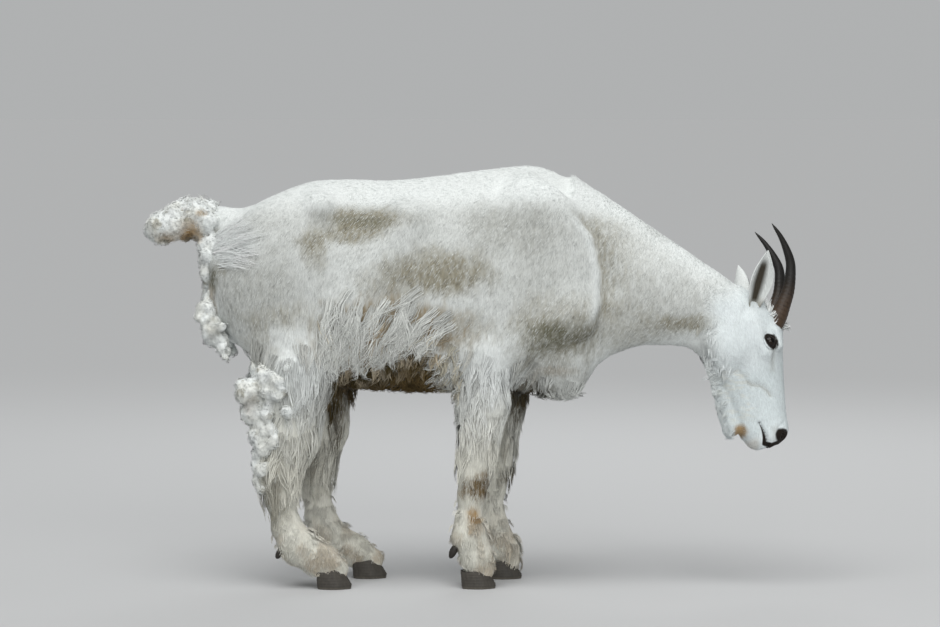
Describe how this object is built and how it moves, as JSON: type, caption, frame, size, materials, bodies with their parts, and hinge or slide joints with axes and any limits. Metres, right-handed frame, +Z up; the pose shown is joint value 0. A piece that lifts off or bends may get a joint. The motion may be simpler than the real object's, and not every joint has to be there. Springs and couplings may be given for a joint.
{
  "type": "mountain goat",
  "caption": "Life-size mountain goat in its summer moult, standing with its head lowered, with ragged wool on its flanks, belly, rump and legs.",
  "frame": {"origin": "on the floor, below the middle of the animal's bounding box", "axes": "+X forwards towards the muzzle, +Y to the animal's left, +Z up"},
  "size_m": [1.4998, 0.3479, 0.958],
  "materials": {
    "white_coat": "short white summer coat with ragged winter wool",
    "horn": "black-brown horn, satin, ringed near the root",
    "hoof": "dark grey hoof, worn matte",
    "eye": "dark wet eye"
  },
  "bodies": {
    "root": {"torso": "white_coat", "neck": "white_coat", "eye_left": "eye", "horn_left": "horn", "ear_left": "white_coat", "eye_right": "eye", "horn_right": "horn", "ear_right": "white_coat", "head": "white_coat", "tail": "white_coat", "hoof_foreleg_right_outer": "hoof", "dewclaw_foreleg_right_outer": "hoof", "hoof_foreleg_right_inner": "hoof", "dewclaw_foreleg_right_inner": "hoof", "foreleg_right_upper": "white_coat", "foreleg_right_lower": "white_coat", "hoof_foreleg_left_inner": "hoof", "dewclaw_foreleg_left_inner": "hoof", "hoof_foreleg_left_outer": "hoof", "dewclaw_foreleg_left_outer": "hoof", "foreleg_left_upper": "white_coat", "foreleg_left_lower": "white_coat", "hoof_hindleg_right_outer": "hoof", "dewclaw_hindleg_right_outer": "hoof", "hoof_hindleg_right_inner": "hoof", "dewclaw_hindleg_right_inner": "hoof", "hindleg_right_upper": "white_coat", "hindleg_right_lower": "white_coat", "hoof_hindleg_left_inner": "hoof", "dewclaw_hindleg_left_inner": "hoof", "hoof_hindleg_left_outer": "hoof", "dewclaw_hindleg_left_outer": "hoof", "hindleg_left_upper": "white_coat", "hindleg_left_lower": "white_coat"}
  },
  "joints": []
}
